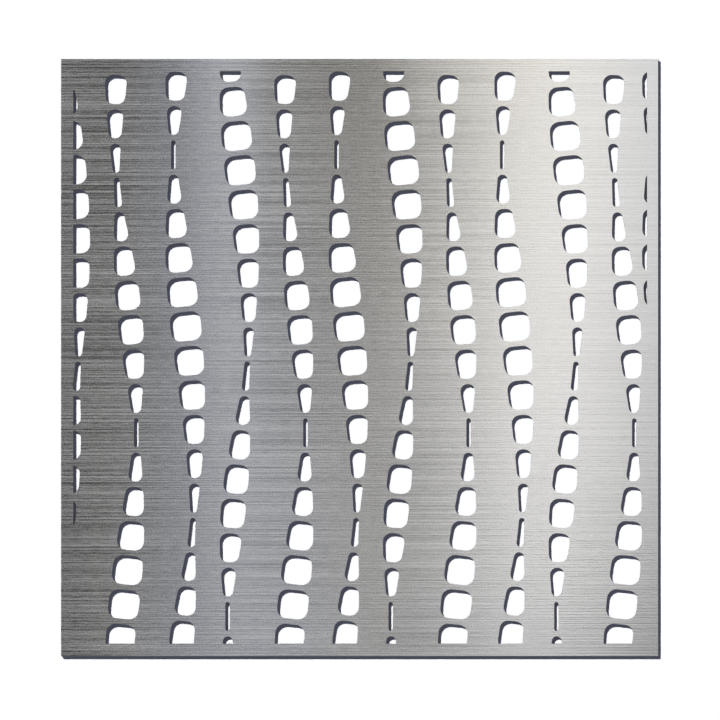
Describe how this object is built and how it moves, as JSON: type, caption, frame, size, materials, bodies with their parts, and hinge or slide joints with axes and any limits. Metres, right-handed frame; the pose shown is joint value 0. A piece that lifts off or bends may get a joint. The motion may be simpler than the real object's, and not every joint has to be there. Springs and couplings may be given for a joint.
{
  "type": "perforated metal sheet",
  "caption": "Flat square sheet of brushed steel with a plain margin round swaying upright columns of rounded openings.",
  "frame": {"origin": "middle of the underside, on the floor that the sheet lies on", "axes": "+Z through the thickness, out of the brushed face; X across the sheet, along the brushed grain; +Y up the columns of openings"},
  "size_m": [0.6, 0.6, 0.003],
  "materials": {
    "brushed_steel": "brushed, with fine straight grain across the sheet"
  },
  "bodies": {
    "root": {"perforated_sheet": "brushed_steel"}
  },
  "joints": []
}
